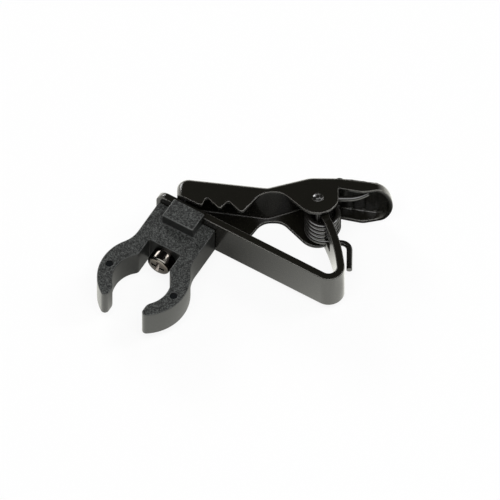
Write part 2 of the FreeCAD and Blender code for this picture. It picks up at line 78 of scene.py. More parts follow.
# %% [markdown]
# The hinge is the place that the jaw, the spring and the arm share. Its axis is read
# once, so that the spring can be drawn in the lever's own frame: origin on the pin,
# x towards the thumb tab. That is easier than working out each point of the wire in
# the frame of the bore.

# %% The lever's frame
hinge = frame["joints"][0]
PIN = Vector(hinge["pos_m"])
CLOSED_ANGLE = math.radians(30.8)
LEVER = Matrix.Translation(PIN) @ Matrix.Rotation(CLOSED_ANGLE, 4, "Z")
print("pin at", [round(v / MM, 2) for v in PIN], "mm")

# %% [markdown]
# The camera looks down on the clip from 57 degrees, with the hinge pin upright. The
# photograph shows next to no perspective, because so small a thing is taken from far
# away with a long lens. So the camera is orthographic, and its scale comes from the
# millimetres that one pixel covers. Scale, elevation, turn and aim were fitted to
# corners that the photograph and the solids share.

# %% Camera
PICTURE_SIDE = 500
PIXEL = 0.16397 * MM
ELEVATION = math.radians(56.66)
TURN = math.radians(31.17)
NEAR_THE_PIN = Vector((17.58, 27.2, 0)) * MM
AIM_RIGHT = -11.33 * MM
AIM_AWAY = -6.58 * MM
STAND_OFF = 0.5

right = Vector((math.cos(TURN), math.sin(TURN), 0))
away = Vector((-math.sin(TURN), math.cos(TURN), 0))
look = away * math.cos(ELEVATION) - Vector((0, 0, 1)) * math.sin(ELEVATION)
aim = NEAR_THE_PIN + right * AIM_RIGHT + away * AIM_AWAY

camera_data = bpy.data.cameras.new("product_camera")
camera_data.type = "ORTHO"
camera_data.ortho_scale = PICTURE_SIDE * PIXEL
camera_data.clip_start = 0.01
camera_data.clip_end = 5.0
camera = bpy.data.objects.new("product_camera", camera_data)
axes = Matrix((right, right.cross(look), -look)).transposed()
camera.matrix_world = Matrix.Translation(aim - look * STAND_OFF) @ axes.to_4x4()
bpy.context.collection.objects.link(camera)
bpy.context.scene.camera = camera
bpy.context.scene.view_settings.view_transform = "Standard"
print("picture is", round(PICTURE_SIDE * PIXEL / MM, 1), "mm wide")

# %% [markdown]
# A material is a tree of nodes. These helpers add the kinds of node that come back in
# almost every tree here, so that the cells below say only what is special to them.

# %% Helpers for node trees


def feed(tree, value, socket):
    """Links another node's socket, or sets a plain number or colour."""
    if isinstance(value, bpy.types.NodeSocket):
        tree.links.new(value, socket)
    elif isinstance(value, tuple):
        socket.default_value = (*value, 1)
    else:
        socket.default_value = value


def math_node(tree, operation, a, b=0.0):
    node = tree.nodes.new("ShaderNodeMath")
    node.operation = operation
    feed(tree, a, node.inputs[0])
    feed(tree, b, node.inputs[1])
    return node.outputs[0]


def ramp_node(tree, value, low, high, out_low, out_high, smooth=False):
    """A value that goes from out_low to out_high as the input goes from low to high."""
    node = tree.nodes.new("ShaderNodeMapRange")
    node.interpolation_type = "SMOOTHSTEP" if smooth else "LINEAR"
    limits = {"From Min": low, "From Max": high, "To Min": out_low, "To Max": out_high}
    for name, number in limits.items():
        feed(tree, number, node.inputs[name])
    feed(tree, value, node.inputs["Value"])
    return node.outputs[0]


def noise(tree, scale, detail=2.0, roughness=0.5):
    """Noise from 0 to 1 on Object coordinates, which stay with a piece as it moves."""
    place = tree.nodes.new("ShaderNodeTexCoord")
    node = tree.nodes.new("ShaderNodeTexNoise")
    feed(tree, place.outputs["Object"], node.inputs["Vector"])
    feed(tree, scale, node.inputs["Scale"])
    feed(tree, detail, node.inputs["Detail"])
    feed(tree, roughness, node.inputs["Roughness"])
    return node.outputs[0]


def shader_mix(tree, factor, first, second):
    node = tree.nodes.new("ShaderNodeMixShader")
    for socket, value in zip(node.inputs, (factor, first, second)):
        feed(tree, value, socket)
    return node.outputs[0]


print("helpers: feed, math_node, ramp_node, noise, shader_mix")

# %% [markdown]
# The ground is one large sheet of white paper, level with the lowest edge of the jaw,
# because the clip lies on its side. Smooth paper has no relief that the camera could
# see, so one flat face is enough, and its fibres are left to the material.

# %% Ground
SHEET_REACH = 1.5
level = cad_low[2]
SQUARE = ((-1, -1), (1, -1), (1, 1), (-1, 1))
corners = [(x * SHEET_REACH, y * SHEET_REACH, level) for x, y in SQUARE]
ground_mesh = bpy.data.meshes.new("ground")
ground_mesh.from_pydata(corners, [], [(0, 1, 2, 3)])
ground = bpy.data.objects.new("ground", ground_mesh)
bpy.context.collection.objects.link(ground)
print("ground at z =", round(level / MM, 2), "mm")

# %% [markdown]
# The camera has to see the paper near white, with a trace of the clip's shadow. More
# light would do that too, but it would bleach the clip. So nine tenths of what the
# camera sees is a plain glow, and the rest is paper that takes light and shadow. A
# reflection sees the paper bright. Close to the clip it sees it darker, because there
# the clip keeps the light away: at the corner of bar and holder, in front of the thumb
# tab, under the jaw, inside the holder and by the arm.

# %% White paper
CAMERA_GLOW = 0.9
FIBRE_SCALE = 900.0
PAPER_DARK, PAPER_LIGHT = 0.84, 0.88
MIRRORED_WHITE = (1.0, 1.0, 0.93)
SHADES = (
    # x and y, then where the fade starts and ends, in mm; strength inside and outside
    (5, 15, 3, 24, 0.32, 1.95),
    (24, 32, 4, 9, 0.03, 1.0),
    (11, 25, 4, 12, 0.15, 1.0),
    (-2, 4, 4, 9, 0.45, 1.0),
    (30, 20, 0, 5, 0.6, 1.0),
)

paper = bpy.data.materials.new("white_paper")
paper.use_nodes = True
tree = paper.node_tree
tree.nodes.clear()
fibre = noise(tree, FIBRE_SCALE)
matt = tree.nodes.new("ShaderNodeBsdfDiffuse")
feed(tree, ramp_node(tree, fibre, 0.0, 1.0, PAPER_DARK, PAPER_LIGHT), matt.inputs["Color"])
white = tree.nodes.new("ShaderNodeEmission")
mirrored = tree.nodes.new("ShaderNodeEmission")
feed(tree, MIRRORED_WHITE, mirrored.inputs["Color"])
spot = tree.nodes.new("ShaderNodeTexCoord")
glow = 1.0
for x, y, near, far, inside, outside in SHADES:
    apart = tree.nodes.new("ShaderNodeVectorMath")
    apart.operation = "DISTANCE"
    apart.inputs[1].default_value = (x * MM, y * MM, level)
    feed(tree, spot.outputs["Object"], apart.inputs[0])
    shade = ramp_node(tree, apart.outputs["Value"], near * MM, far * MM, inside, outside)
    glow = math_node(tree, "MULTIPLY", shade, glow)
feed(tree, glow, mirrored.inputs["Strength"])
rays = tree.nodes.new("ShaderNodeLightPath")
by_camera = math_node(tree, "MULTIPLY", rays.outputs["Is Camera Ray"], CAMERA_GLOW)
seen = shader_mix(tree, by_camera, matt.outputs[0], white.outputs[0])
whole = shader_mix(tree, rays.outputs["Is Glossy Ray"], seen, mirrored.outputs[0])
out = tree.nodes.new("ShaderNodeOutputMaterial")
feed(tree, whole, out.inputs["Surface"])
ground_mesh.materials.append(paper)
print("paper:", len(SHADES), "shades round the clip")

# %% [markdown]
# A smooth black thing is drawn by what it mirrors. Its level faces look back and up to
# a dark ceiling, and its upright faces look down to the white paper. So reflections
# see a tent: pale above and on the camera's side, dark behind the clip and dark at the
# horizon. The curved thumb tab and the wire find it and shade softly, and the level
# faces stay black. A picture of a studio could do this too, but the tent needs only
# two ramps on the direction. All other rays find a plain dim sky.

# %% Tent for reflections
TENT_STRENGTH = 3.0
TENT_DARK = 0.02
SKY_STRENGTH = 0.16
FRONT_FADE = (-0.3, -0.05)
ROOF_FADE = (0.52, 0.66)

world = bpy.data.worlds.new("studio")
bpy.context.scene.world = world
world.use_nodes = True
tree = world.node_tree
sky = tree.nodes["Background"]
feed(tree, (1, 1, 1), sky.inputs["Color"])
toward = tree.nodes.new("ShaderNodeTexCoord")
behind = tree.nodes.new("ShaderNodeVectorMath")
behind.operation = "DOT_PRODUCT"
behind.inputs[1].default_value = away
feed(tree, toward.outputs["Generated"], behind.inputs[0])
height = tree.nodes.new("ShaderNodeSeparateXYZ")
feed(tree, toward.outputs["Generated"], height.inputs[0])
front = ramp_node(tree, behind.outputs["Value"], *FRONT_FADE, 1.0, 0.0, smooth=True)
above = ramp_node(tree, height.outputs["Z"], *ROOF_FADE, 0.0, 1.0, smooth=True)
roof = math_node(tree, "MULTIPLY", math_node(tree, "MULTIPLY", front, above), TENT_STRENGTH)
tent = math_node(tree, "ADD", roof, TENT_DARK)
rays = tree.nodes.new("ShaderNodeLightPath")
strength = ramp_node(tree, rays.outputs["Is Glossy Ray"], 0.0, 1.0, SKY_STRENGTH, tent)
feed(tree, strength, sky.inputs["Strength"])
print("tent: dark towards", [round(v, 2) for v in away])

# %% [markdown]
# Three soft lamps give the light and the shadows: a large one over the camera, a small
# one on the right, and one low at the back left, which the screw's head mirrors. The
# large one lights but isn't mirrored, because inside the jaw the folds of the sheet
# would catch it as a bright line, which the photograph doesn't show.

# %% Lamps
LAMP_DISTANCE = 0.5


def softbox(name, turn, height, wide, high, brightness, mirrored=True):
    """A lamp that faces the clip; its brightness is in paper whites.

    turn is measured from the camera's side, counterclockwise seen from above, and
    height is the angle over the ground, both in degrees.
    """
    lamp = bpy.data.lights.new(name, "AREA")
    lamp.shape = "RECTANGLE"
    lamp.size = wide
    lamp.size_y = high
    lamp.energy = brightness * math.pi * wide * high
    holder = bpy.data.objects.new(name, lamp)
    side = Matrix.Rotation(math.radians(turn), 4, "Z") @ (-away)
    rise = math.radians(height)
    place = side * math.cos(rise) + Vector((0, 0, math.sin(rise)))
    holder.location = aim + place * LAMP_DISTANCE
    holder.rotation_euler = (-place).to_track_quat("-Z", "Y").to_euler()
    holder.visible_glossy = mirrored
    bpy.context.collection.objects.link(holder)


softbox("top_lamp", 0, 70, wide=0.4, high=0.2, brightness=7, mirrored=False)
softbox("left_lamp", -152, 27, wide=0.2, high=0.16, brightness=11)
softbox("right_lamp", 102, 46, wide=0.14, high=0.14, brightness=10)

# %% [markdown]
# Finishes come next. Three effects serve them: a fine speckle that breaks up colour
# and gloss, soft rubbed edges, and a mask that tells level faces from upright ones.
# Each is a shader group, built once, with inputs for its sizes, because a copy in
# every material would have to be mended in every material. new_group makes an empty
# one, and serves the Geometry Nodes tree of the spring too.

# %% Helpers for groups


def new_group(name, inputs, outputs, kind="ShaderNodeTree"):
    group = bpy.data.node_groups.new(name, kind)
    for label, socket_type, value in inputs:
        socket = group.interface.new_socket(label, in_out="INPUT", socket_type=socket_type)
        if value is not None:
            socket.default_value = value
    for label, socket_type in outputs:
        group.interface.new_socket(label, in_out="OUTPUT", socket_type=socket_type)
    return group, group.nodes.new("NodeGroupInput"), group.nodes.new("NodeGroupOutput")


def add_group(tree, group, **values):
    """A group's node in a tree; grain_per_mm=6.0 feeds its input Grain per mm."""
    node = tree.nodes.new("ShaderNodeGroup")
    node.node_tree = group
    for label, value in values.items():
        feed(tree, value, node.inputs[label.replace("_", " ").capitalize()])
    return node.outputs


print("helpers: new_group, add_group")

# %% [markdown]
# No real coat is one even colour: it is a little thicker here and thinner there, and
# its gloss changes with it. One noise alone looks too regular. So the speckle adds a
# fine grain to a slow drift, and uses the sum twice: between a dark and a light tone,
# and for the roughness. The grain alone is the height for a bump.

# %% Shader group: fine speckle
FINE_SHARE, SLOW_SHARE = 0.7, 0.3
SLOW_SCALE = 260.0
PER_METRE = 1000.0


def mixed(tree, factor, a, b):
    """A colour between a and b; each is a colour or a socket."""
    node = tree.nodes.new("ShaderNodeMix")
    node.data_type = "RGBA"
    feed(tree, factor, node.inputs["Factor"])
    feed(tree, a, node.inputs["A"])
    feed(tree, b, node.inputs["B"])
    return node.outputs["Result"]


speckle, given, result = new_group(
    "fine_speckle",
    [("Grain per mm", "NodeSocketFloat", 3.0),
     ("Dark", "NodeSocketColor", None),
     ("Light", "NodeSocketColor", None),
     ("Roughness", "NodeSocketFloat", 0.4),
     ("Spread", "NodeSocketFloat", 0.1)],
    [("Color", "NodeSocketColor"), ("Roughness", "NodeSocketFloat"), ("Height", "NodeSocketFloat")])
grain_scale = math_node(speckle, "MULTIPLY", given.outputs["Grain per mm"], PER_METRE)
fine = noise(speckle, grain_scale, detail=3.0, roughness=0.65)
slow = noise(speckle, SLOW_SCALE)
both = math_node(
    speckle, "ADD", math_node(speckle, "MULTIPLY", fine, FINE_SHARE),
    math_node(speckle, "MULTIPLY", slow, SLOW_SHARE))
tone = mixed(speckle, both, given.outputs["Dark"], given.outputs["Light"])
swing = math_node(
    speckle, "MULTIPLY", math_node(speckle, "SUBTRACT", both, 0.5), given.outputs["Spread"])
rough = math_node(speckle, "ADD", given.outputs["Roughness"], swing)
for label, socket in (("Color", tone), ("Roughness", rough), ("Height", fine)):
    feed(speckle, socket, result.inputs[label])
print("group:", speckle.name)

# %% [markdown]
# Every real edge has a radius, and the light catches it, so the clip's edges show
# as thin light lines. The bevels on the meshes are only as wide as the sheet
# allows. A Bevel node bends the shading normal over a wider band, without more faces,
# and a painted highlight, a paler colour, is drawn as a line where that normal leans
# between upright and level. The node can't tell an outer edge from an inner corner.
# But a corner's own walls keep the sky from it, so an Ambient Occlusion node reads
# lower there, and that takes both the bent normal and the painted line away.

# %% Shader group: soft edges
CLOSE_BY, CLOSE_FADE = 0.6 * MM, (0.75, 0.9)
AROUND, AROUND_FADE = 2.0 * MM, (0.84, 0.94)
UPRIGHT_FADE = (0.25, 0.6)
LEVEL_FADE = (0.8, 0.97)

soft_edges, given, result = new_group(
    "soft_edges", [("Radius", "NodeSocketFloat", 0.2 * MM)],
    [("Normal", "NodeSocketVector"), ("Edge", "NodeSocketFloat")])


def openness(distance, fade, samples):
    """1 on open faces and outer edges, 0 in corners."""
    node = soft_edges.nodes.new("ShaderNodeAmbientOcclusion")
    node.samples = samples
    feed(soft_edges, distance, node.inputs["Distance"])
    return ramp_node(soft_edges, node.outputs["AO"], *fade, 0.0, 1.0)


rounding = soft_edges.nodes.new("ShaderNodeBevel")
rounding.samples = 6
feed(soft_edges, given.outputs["Radius"], rounding.inputs["Radius"])
plain = soft_edges.nodes.new("ShaderNodeNewGeometry")
chosen = soft_edges.nodes.new("ShaderNodeMix")
chosen.data_type = "VECTOR"
feed(soft_edges, openness(CLOSE_BY, CLOSE_FADE, 6), chosen.inputs["Factor"])
feed(soft_edges, plain.outputs["Normal"], chosen.inputs["A"])
feed(soft_edges, rounding.outputs["Normal"], chosen.inputs["B"])
feed(soft_edges, chosen.outputs["Result"], result.inputs["Normal"])
leaning = soft_edges.nodes.new("ShaderNodeSeparateXYZ")
feed(soft_edges, rounding.outputs["Normal"], leaning.inputs[0])
tilt = math_node(soft_edges, "ABSOLUTE", leaning.outputs["Z"])
between = math_node(
    soft_edges, "MULTIPLY", ramp_node(soft_edges, tilt, *UPRIGHT_FADE, 0.0, 1.0),
    ramp_node(soft_edges, tilt, *LEVEL_FADE, 1.0, 0.0))
# the painted highlight line: where the bent normal leans, away from corners
painted_edge_line = math_node(soft_edges, "MULTIPLY", between, openness(AROUND, AROUND_FADE, 8))
feed(soft_edges, painted_edge_line, result.inputs["Edge"])
print("group:", soft_edges.name)

# %% [markdown]
# The jaw and the bar are sheet steel under a thin, smooth black coat. Black is never
# zero: a little light goes into the coat, so its colour is a dark warm grey, and the
# gloss does the rest. The spring and the pin are blackened steel, and the screw is
# plated with dark nickel. Only the nickel is metallic, so its colour tints what it
# mirrors; a coat's colour lies under a clear reflection. These finishes differ only in
# numbers, so one function makes them all.

# %% Black coat, blackened wire and dark nickel
# the paler colour of the painted highlight line along the coat's edges
PAINTED_EDGE_COAT = (0.17, 0.165, 0.15)
RELIEF_HEIGHT = 0.02 * MM


def finish(name, dark, light, roughness, spread, grain_per_mm, bump,
           metallic=0.0, edge=0.0, shine=0.5):
    """A speckled, slightly uneven surface; edge is the radius of its soft edges, which get a
    painted highlight line.
    """
    material = bpy.data.materials.new(name)
    material.use_nodes = True
    tree = material.node_tree
    shader = tree.nodes["Principled BSDF"]
    feed(tree, shine, shader.inputs["Specular IOR Level"])
    feed(tree, metallic, shader.inputs["Metallic"])
    skin = add_group(tree, speckle, dark=dark, light=light, roughness=roughness,
                     spread=spread, grain_per_mm=grain_per_mm)
    feed(tree, skin["Roughness"], shader.inputs["Roughness"])
    relief = tree.nodes.new("ShaderNodeBump")
    feed(tree, bump, relief.inputs["Strength"])
    feed(tree, RELIEF_HEIGHT, relief.inputs["Distance"])
    feed(tree, skin["Height"], relief.inputs["Height"])
    colour = skin["Color"]
    if edge:
        rim = add_group(tree, soft_edges, radius=edge)
        feed(tree, rim["Normal"], relief.inputs["Normal"])
        # painted highlight: the coat turns paler along the edge line
        colour = mixed(tree, rim["Edge"], colour, PAINTED_EDGE_COAT)
    feed(tree, colour, shader.inputs["Base Color"])
    feed(tree, relief.outputs["Normal"], shader.inputs["Normal"])
    return material


black_coat = finish(
    "black_coat", dark=(0.0056, 0.0053, 0.0039), light=(0.0088, 0.0083, 0.0062),
    roughness=0.18, spread=0.08, grain_per_mm=6.0, bump=0.06, edge=0.3 * MM)
black_wire = finish(
    "black_wire", dark=(0.0065, 0.0062, 0.0052), light=(0.012, 0.0115, 0.010),
    roughness=0.2, spread=0.08, grain_per_mm=6.0, bump=0.1, shine=1.0)
dark_nickel = finish(
    "dark_nickel", dark=(0.092, 0.08, 0.07), light=(0.148, 0.131, 0.118),
    roughness=0.16, spread=0.08, grain_per_mm=5.0, bump=0.06, metallic=1.0, edge=0.12 * MM)
print("finishes:", [m.name for m in bpy.data.materials])

# %% [markdown]
# The holder is nylon from a spark-eroded mould. The mould's level faces are rough, and
# leave grains of about a quarter of a millimetre that catch the light one by one; those
# glints are painted, as pale specks in the colour. Its upright faces were polished so
# that the part can slide out, so they are smoother.
# Faces could be given one finish or the other by hand. A mask from the face's own
# direction does the same for every face, and fades where a corner turns.

# %% Shader group: level faces
level_mask, given, result = new_group(
    "level_faces",
    [("From", "NodeSocketFloat", 0.8), ("To", "NodeSocketFloat", 0.95)],
    [("Level", "NodeSocketFloat")])
facing = level_mask.nodes.new("ShaderNodeTexCoord")
split = level_mask.nodes.new("ShaderNodeSeparateXYZ")
feed(level_mask, facing.outputs["Normal"], split.inputs[0])
upward = math_node(level_mask, "ABSOLUTE", split.outputs["Z"])
is_level = ramp_node(
    level_mask, upward, given.outputs["From"], given.outputs["To"], 0.0, 1.0)
feed(level_mask, is_level, result.inputs["Level"])
print("group:", level_mask.name)

# %% [markdown]
# The nylon mixes two faces by that mask. The rough one has dark specks and pale ones,
# the pale ones painted glints of the grain, with more relief and less gloss; the smooth
# one has a slow haze between two greys. Roughness and relief are given for the smooth
# face first. The two small round spots on the arms are polished, and for them the
# function of the coats is enough.

# %% Textured nylon and its polished spots
# the rough face's pale specks are painted glints of the grain
ROUGH_DARK, ROUGH_PAINTED_GLINT = (0.006, 0.0063, 0.006), (0.086, 0.0905, 0.087)
SMOOTH_DARK, SMOOTH_LIGHT = (0.012, 0.013, 0.012), (0.022, 0.0235, 0.022)
# the paler colour of the painted highlight line along the nylon's edges
PAINTED_EDGE_NYLON = (0.085, 0.088, 0.086)
GRAIN_SCALE, SPECK_FADE = 4800.0, (0.42, 0.66)
HAZE_SCALE, HAZE_FADE, HAZE_MOST = 700.0, (0.3, 0.7), 0.35
ROUGHNESS = (0.34, 0.42)
RELIEF, RELIEF_DEPTH = (0.12, 0.8), 0.03 * MM
NYLON_SHINE, NYLON_EDGE = 0.4, 0.16 * MM

textured_nylon = bpy.data.materials.new("textured_nylon")
textured_nylon.use_nodes = True
tree = textured_nylon.node_tree
shader = tree.nodes["Principled BSDF"]
feed(tree, NYLON_SHINE, shader.inputs["Specular IOR Level"])
is_level = add_group(tree, level_mask)["Level"]
rim = add_group(tree, soft_edges, radius=NYLON_EDGE)
grain = noise(tree, GRAIN_SCALE, detail=2.5, roughness=0.6)
speck = ramp_node(tree, grain, *SPECK_FADE, 0.0, 1.0)
haze = ramp_node(tree, noise(tree, HAZE_SCALE), *HAZE_FADE, 0.0, HAZE_MOST)
# real grain in dark specks, with painted glints in the pale ones
rough_face = mixed(tree, speck, ROUGH_DARK, ROUGH_PAINTED_GLINT)
smooth_face = mixed(tree, haze, SMOOTH_DARK, SMOOTH_LIGHT)
faces = mixed(tree, is_level, smooth_face, rough_face)
# painted highlight: the nylon turns paler along the edge line
feed(tree, mixed(tree, rim["Edge"], faces, PAINTED_EDGE_NYLON), shader.inputs["Base Color"])
feed(tree, ramp_node(tree, is_level, 0.0, 1.0, *ROUGHNESS), shader.inputs["Roughness"])
relief = tree.nodes.new("ShaderNodeBump")
feed(tree, RELIEF_DEPTH, relief.inputs["Distance"])
feed(tree, ramp_node(tree, is_level, 0.0, 1.0, *RELIEF), relief.inputs["Strength"])
feed(tree, grain, relief.inputs["Height"])
feed(tree, rim["Normal"], relief.inputs["Normal"])
feed(tree, relief.outputs["Normal"], shader.inputs["Normal"])
polished_nylon = finish(
    "polished_nylon", dark=(0.004, 0.0045, 0.005), light=(0.008, 0.009, 0.0095),
    roughness=0.2, spread=0.06, grain_per_mm=3.0, bump=0.05, shine=NYLON_SHINE)
print("nylon:", len(tree.nodes), "nodes")

# %% [markdown]
# Most pieces are shaped with modifiers on a rough object, and have to end as plain
# meshes at the origin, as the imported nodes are. Applying the modifiers one by one needs
# the right selection and context. new_from_object on the evaluated object gives the
# same mesh at once, and the rough object goes.

# %% From a rough object to a plain piece


def finished(holder, piece_name, material):
    """The holder's evaluated mesh as a plain object; the holder is deleted."""
    depsgraph = bpy.context.evaluated_depsgraph_get()
    mesh = bpy.data.meshes.new_from_object(holder.evaluated_get(depsgraph))
    mesh.name = piece_name
    piece = bpy.data.objects.new(piece_name, mesh)
    bpy.context.collection.objects.link(piece)
    mesh.materials.clear()
    mesh.materials.append(material)
    source = holder.data
    bpy.data.objects.remove(holder)
    if isinstance(source, bpy.types.Mesh):
        bpy.data.meshes.remove(source)
    else:
        bpy.data.curves.remove(source)
    print(piece_name + ":", len(mesh.polygons), "faces")
    return piece


print("helper: finished")

# %% [markdown]
# Where the jaw's sheet curls tightly, a bevel can throw a point half a millimetre off,
# which would show as a thorn. A narrower bevel would lose the soft edge everywhere
# else, so only such points are mended: each goes to the nearest place on the solid.

# %% Stray points


def put_back(piece, node, allowed=0.05 * MM):
    """Points that the bevel threw off the solid's skin return to it."""
    solid = bmesh.new()
    solid.from_mesh(node.data)
    skin = BVHTree.FromBMesh(solid)
    solid.free()
    moved = 0
    for point in piece.data.vertices:
        nearest, _, _, off = skin.find_nearest(point.co)
        if off > allowed:
            point.co = nearest
            moved += 1
    print(piece.name + ":", moved, "points put back")


print("helper: put_back")

# %% [markdown]
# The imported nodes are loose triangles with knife-sharp corners. Real sheet metal is
# tumbled before it is coated, and a mould has small radii, so no real corner is sharp.
# Modelling all three pieces again would risk their fit. So each node is copied, its
# triangles are joined and its flat areas made whole, and every corner over 50 degrees
# gets a small bevel. Normals weighted by face area keep the flats flat, and let the
# bevels and the chamfers shade as if they were round.

# %% Dressed nodes: jaw, bar and holder
MERGE_WITHIN = 0.001 * MM
FLAT_WITHIN = math.radians(0.8)
CORNER_OVER = math.radians(50)


def dress(node_name, piece_name, material, edge, body, segments=2):
    """A joined, bevelled and smooth copy of a node, which it replaces."""
    bm = bmesh.new()
    bm.from_mesh(frame["nodes"][node_name].data)
    bmesh.ops.remove_doubles(bm, verts=bm.verts, dist=MERGE_WITHIN)
    bmesh.ops.dissolve_limit(bm, angle_limit=FLAT_WITHIN, verts=bm.verts, edges=bm.edges)
    rough_mesh = bpy.data.meshes.new(piece_name + "_rough")
    bm.to_mesh(rough_mesh)
    bm.free()
    rough_mesh.shade_smooth()
    holder = bpy.data.objects.new(piece_name + "_rough", rough_mesh)
    bpy.context.collection.objects.link(holder)
    bevel = holder.modifiers.new("bevel", "BEVEL")
    bevel.width = edge
    bevel.segments = segments
    bevel.limit_method = "ANGLE"
    bevel.angle_limit = CORNER_OVER
    bevel.use_clamp_overlap = False
    weigh = holder.modifiers.new("weigh", "WEIGHTED_NORMAL")
    weigh.mode = "FACE_AREA"
    weigh.weight = 50
    weigh.keep_sharp = True
    piece = finished(holder, piece_name, material)
    put_back(piece, frame["nodes"][node_name])
    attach(piece, body)
    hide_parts(node_name)
    return piece


jaw_sheet = dress("jaw_lever", "jaw_sheet", black_coat, edge=0.09 * MM, body="jaw")
bar_strip = dress("tie_bar", "bar_strip", black_coat, edge=0.06 * MM, body="bar")
grip_moulding = dress(
    "mic_grip", "grip_moulding", textured_nylon, edge=0.09 * MM, body="bar", segments=3)

# %% [markdown]
# Each arm of the holder has a shallow round spot on its upper face, left by a polished
# pin of the mould. The solid has the hollows, so their floors are picked by height and
# place and given the smooth finish.

# %% Polished spots on the arms
FLOOR_LOW, FLOOR_HIGH = 2.6 * MM, 2.75 * MM
FLOOR_HALF_Y = 1.2 * MM

grip_moulding.data.materials.append(polished_nylon)
spots = 0
for face in grip_moulding.data.polygons:
    faces_up = face.normal.z > 0.99
    if FLOOR_LOW < face.center.z < FLOOR_HIGH and faces_up and abs(face.center.y) < FLOOR_HALF_Y:
        face.material_index = 1
        spots += 1
print("polished faces on the arms:", spots)

# %% [markdown]
# The spring is one wire, wound cold round a mandrel and blackened. Its centre line has
# a leg under the thumb tab, four and a half turns that hang on the pin, and a leg that
# leaves through the arm's window and turns down. Blender's own spiral gives only the
# turns, so the whole line is worked out here, from the same sizes as the solid's.

# %% The spring's sizes, in millimetres and degrees
COIL_RADIUS = 2.55
COIL_HALF_SPAN = 2.48
WHOLE_TURNS = 4
TURN_STEP = 7.5
# the coil's middle hangs from the pin in this direction, this far off
HANG_TOWARDS, HANG = -56.5, 1.51
# the upper leg leaves the coil here, runs straight, curls up and ends in a short tip
TAB_LEG_AT, TAB_LEG_RUN = 90.0, 4.2
TAB_CURL_RADIUS, TAB_CURL_TURN, TAB_LEG_TIP = 5.0, 30, 0.75
# the lower leg leaves here, runs through the arm's window, bends and drops
HOOK_LEG_AT, HOOK_LEG_MIDDLE, HOOK_LEG_RUN = 264.0, 1.8, 3.5
HOOK_BEND, HOOK_DROP = 1.35, 3.9
print("coil:", 2 * COIL_RADIUS, "mm across at its middle line")

# %% [markdown]
# The line is made of runs and arcs, so two helpers do: a direction from an angle, and
# the points of an arc. The turns sink evenly from the upper leg to the lower one.

# %% The spring's centre line


def way(angle):
    """A level direction, in degrees from the lever's x."""
    return Vector((math.cos(math.radians(angle)), math.sin(math.radians(angle)), 0))


def arc_points(hub, radius, start, turn, count):
    """Points along an arc, without its first one."""
    return [hub + way(start + turn * i / count) * radius for i in range(1, count + 1)]


def spring_line():
    """Points along the wire, in millimetres in the lever's frame; angles in degrees."""
    hub = way(HANG_TOWARDS) * HANG
    up = Vector((0, 0, 1))
    foot = hub + way(TAB_LEG_AT) * COIL_RADIUS + up * COIL_HALF_SPAN
    bend = foot + way(TAB_LEG_AT - 90) * TAB_LEG_RUN
    bend_hub = bend + way(TAB_LEG_AT) * TAB_CURL_RADIUS
    curl = arc_points(bend_hub, TAB_CURL_RADIUS, TAB_LEG_AT - 180, TAB_CURL_TURN, 6)
    tip = curl[-1] + way(TAB_CURL_TURN) * TAB_LEG_TIP
    points = [tip] + curl[::-1] + [bend, (bend + foot) / 2, foot]
    total = 360 * WHOLE_TURNS + HOOK_LEG_AT - TAB_LEG_AT
    steps = round(total / TURN_STEP)
    for i in range(1, steps + 1):
        share = i / steps
        rise = COIL_HALF_SPAN * (1 - 2 * share)
        points.append(hub + way(TAB_LEG_AT + total * share) * COIL_RADIUS + up * rise)
    ahead = way(HOOK_LEG_AT - 270)
    side = Vector((ahead.y, -ahead.x, 0))
    turn = points[-1] + ahead * HOOK_LEG_RUN
    sweep = 180 - HOOK_LEG_AT
    points += [points[-1] + ahead * HOOK_LEG_MIDDLE, turn]
    points += arc_points(turn + side * HOOK_BEND, HOOK_BEND, -sweep, sweep, 10)
    points.append(points[-1] + Vector((0, -HOOK_DROP, 0)))
    return points


line = spring_line()
curve = bpy.data.curves.new("spring_line", "CURVE")
curve.dimensions = "3D"
spline = curve.splines.new("POLY")
spline.points.add(len(line) - 1)
for point, place in zip(spline.points, line):
    point.co = (*(LEVER @ (place * MM)), 1)
spring_holder = bpy.data.objects.new("spring_line", curve)
bpy.context.collection.objects.link(spring_holder)
print("spring line:", len(line), "points")

# %% [markdown]
# A curve's own bevel would do for a round wire. Geometry Nodes sweep it just as well,
# and keep its radius, sides and step as named inputs that can be tried one by one. The
# tree is small: the line is resampled, a circle is drawn along it and both ends are
# capped.

